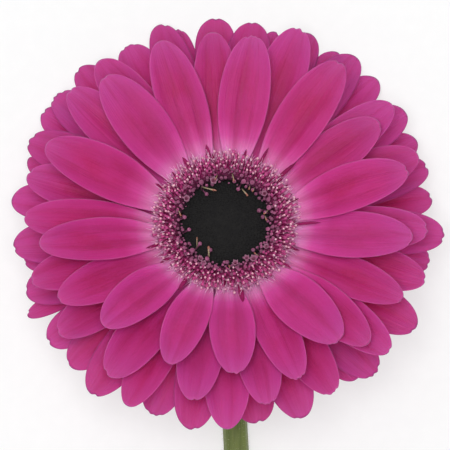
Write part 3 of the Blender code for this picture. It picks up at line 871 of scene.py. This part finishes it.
def make_spiral_tree():
    """Small pieces on a golden-angle spiral over a bed: lean and size change from its inside out."""
    floats = (("Inner Radius", 0.0), ("Outer Radius", 0.01), ("First Turn", 0.0), ("Place Spread", 0.2 * MM),
              ("Inner Lean", 0.0), ("Outer Lean", 0.5), ("Inner Size", 1.0), ("Outer Size", 1.0),
              ("Sink", 0.2 * MM))
    grown, given, copied = copying_tree("golden_spiral", ("Bed", "Object", None), ("Count", "Int", 100),
                                        *((name, "Float", value) for name, value in floats))
    spots = grown.node("GeometryNodePoints", Count=given["Count"])
    index = grown.node("GeometryNodeInputIndex").outputs[0]
    share = grown.maths("DIVIDE", grown.maths("ADD", index, 0.5), given["Count"])
    inner, outer = (grown.times(given[name], given[name]) for name in ("Inner Radius", "Outer Radius"))
    radius = grown.maths("SQRT", grown.between(share, inner, outer))
    radius = grown.maths("ADD", radius, scatter(grown, given["Place Spread"], given["Seed"], 11))
    outness = grown.maths("DIVIDE", grown.maths("SUBTRACT", radius, given["Inner Radius"]),
                          grown.maths("SUBTRACT", given["Outer Radius"], given["Inner Radius"]), clamp=True)
    turn = grown.maths("MULTIPLY_ADD", index, GOLDEN_ANGLE, given["First Turn"])
    sideways = grown.maths("DIVIDE", scatter(grown, given["Place Spread"], given["Seed"], 12), radius)
    turn = grown.maths("ADD", turn, sideways)
    east = grown.maths("SINE", turn)
    north = grown.maths("COSINE", turn)
    above = grown.vector(grown.times(radius, east), grown.times(radius, north), 0.05)
    bed = grown.node("GeometryNodeObjectInfo", Object=given["Bed"])
    hit = grown.node("GeometryNodeRaycast", Target_Geometry=bed.outputs["Geometry"], Source_Position=above,
                     Ray_Direction=(0.0, 0.0, -1.0), Ray_Length=0.1)
    lean = grown.between(outness, given["Inner Lean"], given["Outer Lean"])
    over = grown.maths("SINE", lean)
    aim = grown.vector(grown.times(over, east), grown.times(over, north), grown.maths("COSINE", lean))
    tangent = grown.vector(north, grown.times(east, -1.0))
    sunk = grown.node("ShaderNodeVectorMath", operation="SCALE", Scale=grown.times(given["Sink"], -1.0))
    grown.feed(aim, sunk.inputs[0])
    seat = grown.node("ShaderNodeVectorMath", operation="ADD")
    grown.feed(hit.outputs["Hit Position"], seat.inputs[0])
    grown.feed(sunk.outputs[0], seat.inputs[1])
    placed = grown.node("GeometryNodeSetPosition", Geometry=spots.outputs[0], Position=seat.outputs[0])
    marked = grown.node("GeometryNodeStoreNamedAttribute", data_type="FLOAT", domain="POINT", Name="outness",
                        Geometry=placed.outputs[0], Value=outness)
    upright = grown.node("FunctionNodeAlignRotationToVector", axis="Z", Vector=aim)
    squared = grown.node("FunctionNodeAlignRotationToVector", axis="X", pivot_axis="Z",
                         Rotation=upright.outputs[0], Vector=tangent)
    return set_pieces(grown, given, copied, marked.outputs[0], squared.outputs[0],
                      grown.between(outness, given["Inner Size"], given["Outer Size"]), hit.outputs["Is Hit"])


def tube_floret(name, length):
    """A slender tube that widens into a lobed mouth round a sunk throat."""
    return turned(name, TUBE_PROFILE, FLORET_SIDES, tall=length, tip=0.8, full=1.0)


def set_on_crown(name, piece, skin, count, inside, outside, **inputs):
    """Copies of a small piece on the crown's cushion, between two radii in millimetres."""
    return grow(name, spiral_tree, HEAD, Bed=crown_bed, Piece=piece, Finish=skin.material, Count=count,
                Inner_Radius=inside * MM, Outer_Radius=outside * MM, **inputs)


spiral_tree = make_spiral_tree()

corolla = Finish("floret_corolla", Roughness=0.55, Specular_IOR_Level=0.25)
tone = corolla.ramp(corolla.attribute("outness"), (0.0, 126, 54, 96), (0.3, 188, 58, 130),
                    (1.0, 214, 66, 146))
tone = corolla.stain(tone, (146, 22, 84), 0.5, corolla.attribute("tint"))
# Painted highlight on the lobed mouth, and painted shade on the tube's foot down among the packed florets.
tone = corolla.mix(corolla.ease(corolla.attribute("up"), 0.7, 1.05, 0.0, 0.65), tone, (224, 106, 166))
tone = corolla.mix(corolla.ease(corolla.attribute("up"), 0.7, 0.1, 0.0, 0.75), tone, (112, 8, 60))
grain = corolla.mottle(900.0, 4000.0)
corolla.finish(corolla.stain(tone, (180, 90, 140), 0.3, grain), grain, GRAIN_HEIGHT)
tubes = set_on_crown("floret_tubes", tube_floret("tube_floret", 2.9 * MM), corolla, 360, 12.5, 16.1,
                     Place_Spread=0.25 * MM, Inner_Lean=0.2, Outer_Lean=1.2, Inner_Size=0.7,
                     Outer_Size=1.0, Sink=0.3 * MM, Size_Spread=0.2, Tilt_Spread=0.22, Seed=21)
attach(tubes, "root")


# Long florets: narrow pointed crimson blades among the tubes, most of them short, and a few
# long ones that reach out between the petals' roots. Each is a folded strap drawn to a point.

# Clock angle and tip's distance seen from above, length, half width
SPIKES = [(16, 19.5, 4.5, 0.5), (30, 22.1, 6.5, 0.6), (49.5, 23.6, 8.5, 0.8), (72, 19.7, 4.5, 0.6),
          (90, 24.2, 7.0, 0.6), (111, 20.3, 4.0, 0.5), (125, 20.6, 4.5, 0.5), (167.5, 21.0, 5.5, 1.05),
          (215, 21.1, 5.5, 0.75), (238, 19.7, 4.2, 0.6), (252, 21.4, 5.0, 0.6), (299, 20.5, 4.5, 0.7),
          (326.5, 20.0, 4.8, 0.9), (346, 20.5, 5.0, 0.85)]
SPIKE_ROOT = 5.6 * MM             # height inside the crown's cushion
STRAP_RING = ((-1, 0.18), (-0.5, 0.0), (0, 0.0), (0.5, 0.0), (1, 0.18), (0.5, -0.16), (0, -0.22),
              (-0.5, -0.16))


def pointed_blade(name, length, half_width):
    """A folded strap along +Z whose upper side faces +Y, drawn to a point."""
    rings = []
    for along in np.linspace(0, 1, 7):
        half = half_width * max(0.04, (0.55 + 0.9 * along) * (1 - along) ** 0.55)
        droop = 0.1 * length * along ** 2
        rings.append([(half * across, half * (0.35 * abs(across) + lift) - droop, length * along)
                      for across, lift in STRAP_RING])
    mesh = lofted(name, rings, (0, -0.06 * half_width, 0), (0, -0.1 * length, 1.02 * length))
    store(mesh, "up", [min(1.0, max(0.0, v.co.z / length)) for v in mesh.vertices])
    return mesh


def floret_skin(name, stops, tint, grain, grain_height=GRAIN_HEIGHT, **sockets):
    """A skin that changes from foot to end, a little with each copy, with a fine grain over it.
    Tint and grain are each a share and a colour, and the grain ends with its two scales."""
    skin = Finish(name, **sockets)
    tone = skin.ramp(skin.attribute("up"), *stops)
    if tint:
        tone = skin.stain(tone, tint[1:], tint[0], skin.attribute("tint"))
    share, *colour, patches, cells = grain
    mask = skin.mottle(patches, cells)
    skin.finish(skin.stain(tone, colour, share, mask), mask, grain_height)
    return skin


crimson = floret_skin("long_floret_crimson", [(0.0, 112, 12, 64), (0.5, 140, 18, 80), (1.0, 108, 10, 60)],
                      (0.45, 178, 44, 116), (0.3, 104, 6, 54, 500.0, 3000.0), Roughness=0.6,
                      Specular_IOR_Level=0.15)
straps = set_on_crown("floret_straps", pointed_blade("strap", 3.0 * MM, 0.28 * MM), crimson, 150, 13.4, 16.3,
                      First_Turn=1.0, Place_Spread=0.3 * MM, Inner_Lean=0.5, Outer_Lean=1.1, Inner_Size=0.8,
                      Outer_Size=1.0, Sink=0.2 * MM, Roll_Spread=0.4, Tilt_Spread=0.2, Size_Spread=0.25,
                      Seed=33)
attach(straps, "root")


def join_copies(name, pieces, material):
    """One mesh from small pieces and the matrix that puts each in its place."""
    points = []
    faces = []
    ups = []
    tints = []
    rng = random.Random(name)
    for mesh, matrix in pieces:
        start = len(points)
        points += [tuple(matrix @ v.co) for v in mesh.vertices]
        faces += [tuple(start + n for n in face.vertices) for face in mesh.polygons]
        ups += [item.value for item in mesh.attributes["up"].data]
        tints += [rng.random()] * len(mesh.vertices)
    joined = bpy.data.meshes.new(name)
    joined.from_pydata(points, [], faces)
    joined.shade_smooth()
    store(joined, "up", ups)
    store(joined, "tint", tints)
    joined.transform(HEAD)
    return show(name, joined, material)


def aimed(start, end, facing):
    """The matrix that sets a piece at start, its +Z towards end and its +Y towards facing."""
    along = (Vector(end) - Vector(start)).normalized()
    side = Vector(facing).cross(along).normalized()
    return Matrix.Translation(start) @ Matrix((side, along.cross(side), along)).transposed().to_4x4()


def outward(place):
    """The level direction from the head's axis to a place."""
    return Vector((place.x, place.y, 0)).normalized()


# The further out a long floret reaches, the higher its tip stands
long_blades = []
for azimuth, reach, length, half_width in SPIKES:
    tip_height = (6.6 + 0.4 * (reach - 19)) * MM
    tip = Vector(seen_from_above(azimuth, reach, tip_height))
    root = tip - outward(tip) * length * MM
    root.z = SPIKE_ROOT
    spike = pointed_blade("spike", (tip - root).length, half_width * MM)
    long_blades.append((spike, aimed(root, tip, (0, 0, 1))))
spikes = join_copies("floret_spikes", long_blades, crimson.material)
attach(spikes, "root")


# Hairs of the crown: fine pale silky bristles from the foot of each floret, which show as a
# whitish haze over the petals' roots.

silk = Finish("crown_silk", Roughness=0.6, Specular_IOR_Level=0.3)
silk.finish(silk.mix(silk.attribute("tint"), (240, 164, 212), (254, 210, 240)))
silk_bristle = turned("silk_bristle", [(0.06, 0), (0.06, 1.5), (0.02, 2.8)], 3, bend=-0.15)
haze = set_on_crown("crown_hairs", silk_bristle, silk, 750, 15.0, 17.6, First_Turn=2.0,
                    Place_Spread=0.3 * MM, Inner_Lean=0.9, Outer_Lean=1.35, Sink=0.1 * MM, Size_Spread=0.4,
                    Tilt_Spread=0.5, Seed=55)
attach(haze, "root")


# Pollen tips: the pale pink forked ends of the styles, which stand out of the open florets as
# bright dots on short stalks.

pollen = Finish("pollen_tips", Roughness=0.6, Subsurface_Weight=0.1, Subsurface_Scale=0.5 * MM)
dust = pollen.mottle(1500.0, 6000.0)
tip_tone = pollen.mix(dust, (244, 166, 196), (255, 212, 224))
tip_tone = pollen.mix(pollen.ease(pollen.attribute("up"), 0.86, 0.7, 0.0, 0.85), tip_tone, (196, 96, 148))
tip_tone = pollen.mix(pollen.ease(pollen.attribute("up"), 0.6, 0.1, 0.0, 0.8), tip_tone, (130, 26, 82))
pollen.finish(pollen.stain(tip_tone, (206, 104, 156), 0.25, pollen.attribute("tint")), dust, GRAIN_HEIGHT)
style_tip = turned("style_tip", [(0.1, 0), (0.1, 1.75), (0.2, 1.9), (0.25, 2.08), (0.18, 2.28, 0.3),
                                 (0.05, 2.36)], 8)
dots = set_on_crown("pollen_tips", style_tip, pollen, 310, 12.3, 16.4, First_Turn=0.6,
                    Place_Spread=0.35 * MM, Inner_Lean=0.55, Outer_Lean=1.2, Sink=-0.7 * MM,
                    Size_Spread=0.25, Tilt_Spread=0.25, Seed=8)
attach(dots, "root")


# Large buds: the round mauve knobs of florets that have not opened, each on a short stalk. They
# grow from the crown's cushion and lean in over the eye's rim.

# Clock angle and distance seen from above, radius
KNOBS = [(326, 8.3, 0.62), (21, 8.7, 0.66), (329, 11.9, 0.85), (314.5, 11.5, 0.6), (290, 12.1, 0.6),
         (277, 10.3, 0.66), (258.6, 9.2, 0.62), (230, 8.2, 0.66), (230, 11.0, 0.85), (209, 7.7, 0.7),
         (207, 10.3, 0.75), (177.5, 10.1, 0.66), (135, 9.8, 0.66), (129, 11.8, 0.62), (112, 11.6, 0.6),
         (99, 10.8, 0.68), (86, 11.8, 0.62), (71, 8.7, 0.72), (71, 11.6, 0.85), (82, 9.3, 0.66),
         (76, 10.2, 0.55), (62, 12.4, 0.7), (50, 11.6, 0.5), (40, 10.6, 0.55), (30, 10.3, 0.5),
         (24, 11.3, 0.8), (34, 12.3, 0.8), (0, 11.3, 0.56), (12, 10.5, 0.6), (260, 11.0, 0.55),
         (240, 10.7, 0.45), (171, 11.2, 0.5), (333, 10.4, 0.5)]
KNOB_SCALE = 0.86
BUD_ROOT = 5.4 * MM               # height inside the crown's cushion
BUD_FACING = (0.3, 0.4, 1)
BUD_TOP = 0.95

# A bud over its stalk, in shares of its radius: reach, height, and depth of the five creases
BUD_PROFILE = [(0.45, -0.9, 0), (0.8, -0.55, 0.03), (1.0, 0.0, 0.05), (0.93, 0.45, 0.08), (0.62, 0.82, 0.16),
               (0.2, BUD_TOP, 0.3)]

bud_skin = floret_skin("bud_mauve", [(0.0, 52, 38, 46), (0.5, 108, 54, 86), (0.8, 160, 80, 124),
                                     (0.92, 186, 112, 150), (1.0, 150, 68, 110)],
                       (0.7, 88, 58, 76), (0.25, 196, 112, 150, 1200.0, 5000.0), 0.12 * MM, Roughness=0.6,
                       Specular_IOR_Level=0.25)


def round_bud(name, radius, stalk):
    """A round bud on a stalk, creased where its five lobes meet."""
    profile = [(reach, height + stalk, -crease) for reach, height, crease in BUD_PROFILE]
    return turned(name, [(0.4, 0), *profile], FLORET_SIDES, wide=radius, tall=radius, tip=0.86 + stalk)


# The nearer to the middle a knob stands, the lower it is, and the further in its foot
knobs = []
for azimuth, reach, radius in KNOBS:
    radius *= KNOB_SCALE
    height = (8.6 - 0.12 * (12 - reach)) * MM
    top = Vector(seen_from_above(azimuth, reach, height))
    foot = outward(top) * (12.4 + 0.1 * (reach - 9)) * MM
    foot.z = BUD_ROOT
    stalk = max(1.2, (top - foot).length / (radius * MM) - BUD_TOP)
    knobs.append((round_bud("knob", radius * MM, stalk), aimed(foot, top, BUD_FACING)))
eye_knobs = join_copies("bud_knobs", knobs, bud_skin.material)
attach(eye_knobs, "root")


# Cups: the few florets at the eye's rim that are just opening, each a short wide mauve tube with
# a pale lobed edge round a dark throat. They grow from the crown's cushion among the buds.

# Clock angle and distance seen from above, width against a tube floret's
CUPS = [(344, 11.1, 2.3), (301, 11.7, 2.1), (214.5, 11.4, 1.7), (208, 12.0, 1.9), (166.5, 10.8, 2.0),
        (149.5, 10.7, 1.9), (142.5, 11.8, 2.3), (121, 12.2, 1.8), (54, 12.4, 1.9)]
CUP_HEIGHT = 8.2 * MM
CUP_LEAN = 0.6                    # how far the foot stands out from under the mouth, in millimetres

cup_skin = floret_skin("opening_mauve", [(0.0, 70, 44, 56), (0.6, 120, 70, 96), (0.82, 84, 22, 48),
                                         (0.93, 122, 56, 84), (1.0, 188, 132, 160)],
                       None, (0.2, 150, 90, 124, 1200.0, 5000.0), Roughness=0.5, Specular_IOR_Level=0.3)
cups = []
for azimuth, reach, width in CUPS:
    mouth = Vector(seen_from_above(azimuth, reach, CUP_HEIGHT))
    foot = mouth + outward(mouth) * CUP_LEAN * MM
    foot.z = BUD_ROOT
    wide = Matrix.Diagonal((width, width, 1, 1))
    cups.append((tube_floret("cup", (mouth - foot).length), aimed(foot, mouth, BUD_FACING) @ wide))
opening = join_copies("bud_cups", cups, cup_skin.material)
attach(opening, "root")


# Small buds: the many unopened florets behind the large ones, packed from the eye's rim to the
# tubes. They have the same mauve skin, and those nearest the eye lean in towards it.

inner_buds = set_on_crown("floret_buds", round_bud("inner_bud", 0.4 * MM, 3.0), bud_skin, 250, 11.4, 14.4,
                          First_Turn=0.3, Place_Spread=0.25 * MM, Inner_Lean=-0.75, Outer_Lean=0.1,
                          Inner_Size=0.9, Outer_Size=1.0, Sink=0.2 * MM, Size_Spread=0.4, Tilt_Spread=0.3,
                          Seed=14)
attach(inner_buds, "root")


# Styles: a few bare stalks, brownish olive with reddish ends, from florets that opened early.
# They lie slantwise over the eye's rim.

# Clock angle and distance seen from above of the foot, then of the tip, then the radius
STYLES = [(325, 11.0, 344, 8.3, 0.22), (26, 9.5, 41, 8.8, 0.22), (228, 9.9, 242, 8.3, 0.15),
          (75, 11.4, 79, 10.0, 0.2), (40, 11.6, 42, 10.4, 0.17), (205, 10.1, 215, 7.6, 0.26),
          (287, 13.0, 277, 11.5, 0.17), (135.5, 12.3, 137.5, 10.8, 0.17), (175, 12.4, 175, 11.2, 0.18),
          (350, 12.2, 346, 11.1, 0.18), (81, 10.2, 88, 10.6, 0.22), (8, 12.6, 12, 10.5, 0.2),
          (34, 11.1, 36, 10.3, 0.22)]
STYLE_FOOT = 7.6 * MM
STYLE_TIP = 8.8 * MM
STYLE_PROFILE = [(0.5, 0), (0.8, 0.15), (0.85, 0.6), (1.15, 0.85), (0.9, 0.96), (0.3, 1.0)]

style_skin = floret_skin("style_green", [(0.0, 96, 84, 70), (0.3, 146, 130, 104), (0.66, 184, 158, 134),
                                         (0.82, 176, 104, 90), (1.0, 158, 80, 76)],
                         None, (0.3, 150, 140, 100, 1200.0, 5000.0), Roughness=0.45, Subsurface_Weight=0.1,
                         Subsurface_Scale=0.5 * MM)
stalks = []
for foot_angle, foot_reach, tip_angle, tip_reach, radius in STYLES:
    foot = Vector(seen_from_above(foot_angle, foot_reach, STYLE_FOOT))
    tip = Vector(seen_from_above(tip_angle, tip_reach, STYLE_TIP))
    stalk = turned("style", STYLE_PROFILE, 8, wide=radius * MM, tall=(tip - foot).length)
    stalks.append((stalk, aimed(foot, tip, (0, 0, 1))))
styles = join_copies("styles", stalks, style_skin.material)
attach(styles, "root")


# Eye: the black middle of the flower, a low dome of tightly shut florets. They are set in a
# golden-angle spiral, each a small ribbed dome with a matt, almost black skin.

EYE_FOOT = 3.2 * MM

# The dome's outline: share of the eye's radius, and depth below its top
EYE_PROFILE = [(1.0, 1.3), (0.93, 0.7), (0.75, 0.4), (0.4, 0.45), (0.15, 0.6)]

eye_corners = [TO_HEAD @ v.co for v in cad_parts["eye"].data.vertices]
eye_radius = max(corner.xy.length for corner in eye_corners)
eye_top = max(corner.z for corner in eye_corners)
eye_outline = [(eye_radius * share, eye_top - depth * MM) for share, depth in EYE_PROFILE]
dome = turned("eye_dome", [(eye_radius * 0.99, EYE_FOOT), *eye_outline], 64, wide=1, tall=1)
night = Finish("eye_black", Roughness=0.8, Specular_IOR_Level=0.06)
soot = night.mottle(500.0, 3000.0)
night.finish(night.mix(soot, (32, 31, 32), (36, 35, 35)), soot, GRAIN_HEIGHT)
dome_mesh = dome.copy()
dome_mesh.transform(HEAD)
eye = show("eye_dome", dome_mesh, night.material)
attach(eye, "root")
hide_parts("eye")
eye_buds = grow("eye_buds", spiral_tree, HEAD, Bed=dome, Count=460, Inner_Radius=0.1 * MM,
                Outer_Radius=11.4 * MM, Place_Spread=0.02 * MM, Inner_Lean=0.0, Outer_Lean=-0.15,
                Inner_Size=0.8, Outer_Size=1.05, Sink=0.66 * MM, Piece=round_bud("eye_bud", 0.52 * MM, 0.8),
                Size_Spread=0.06, Tilt_Spread=0.05, Seed=3, Finish=night.material)
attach(eye_buds, "root")


# Studio: the flower lies on a wide pale table under a big soft light, and the camera looks
# straight down on its head. The table glows faintly: painted light that washes out the shadows under the
# flower.

TABLE_SIZE = 12.0
CAMERA_HEIGHT = 3.5
FIELD_WIDTH = 115.7 * MM          # how much of the head's plane the camera takes in
AIM_WEST = 0.13 * MM              # how far from the eye's middle the camera is aimed
AIM_SOUTH = 0.3 * MM
SENSOR = 36

table_mesh = bpy.data.meshes.new("table")
edge = TABLE_SIZE / 2
table_corners = [(-edge, -edge, 0), (edge, -edge, 0), (edge, edge, 0), (-edge, edge, 0)]
table_mesh.from_pydata(table_corners, [], [(0, 1, 2, 3)])
# Painted light: the table glows with a faint emission, though it is no lamp, to lift the shadows under the
# flower.
glowing_paper = Finish("table_paper", Roughness=0.9, Specular_IOR_Level=0.1, Emission_Color=(255, 255, 255),
               Emission_Strength=0.57)
fibre = glowing_paper.mottle(2.0, 300.0)
glowing_paper.finish(glowing_paper.mix(fibre, (166, 166, 166), (169, 169, 169)))
table = show("table", table_mesh, glowing_paper.material)
table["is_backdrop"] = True

room = bpy.data.worlds.new("studio")
bpy.context.scene.world = room
room.use_nodes = True
sky = Nodes(room.node_tree)
up_there = sky.node("ShaderNodeSeparateXYZ", Vector=sky.node("ShaderNodeTexCoord").outputs["Generated"])
backdrop = room.node_tree.nodes["Background"].inputs
sky.feed((255, 255, 255), backdrop["Color"])
sky.feed(sky.ease(up_there.outputs["Z"], 0.05, 0.4, 0.95, 0.38), backdrop["Strength"])


def softbox(name, place, size, power):
    """A square area light at a place, turned towards the flower's head."""
    lamp = bpy.data.lights.new(name, "AREA")
    lamp.shape = "SQUARE"
    lamp.size = size
    lamp.energy = power
    holder = bpy.data.objects.new(name, lamp)
    holder.location = place
    holder.rotation_euler = (head_origin - Vector(place)).to_track_quat("-Z", "Y").to_euler()
    holder.visible_camera = False
    bpy.context.collection.objects.link(holder)


softbox("softbox_overhead", (-0.12, 0.2, 2.4), 1.0, 35)
softbox("softbox_behind", (-0.6, 1.2, 2.1), 1.6, 9)

eye_low, eye_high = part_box("eye")
aim = Vector(((eye_low.x + eye_high.x) / 2 - AIM_WEST, (eye_low.y + eye_high.y) / 2 - AIM_SOUTH, eye_high.z))
lens = bpy.data.cameras.new("camera")
lens.sensor_width = SENSOR
lens.lens = SENSOR * (CAMERA_HEIGHT - aim.z) / FIELD_WIDTH
lens.clip_start = 0.05
lens.clip_end = 80
camera = bpy.data.objects.new("camera", lens)
camera.location = (aim.x, aim.y, CAMERA_HEIGHT)
bpy.context.collection.objects.link(camera)
bpy.context.scene.camera = camera
bpy.context.scene.view_settings.view_transform = "Standard"

low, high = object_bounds()
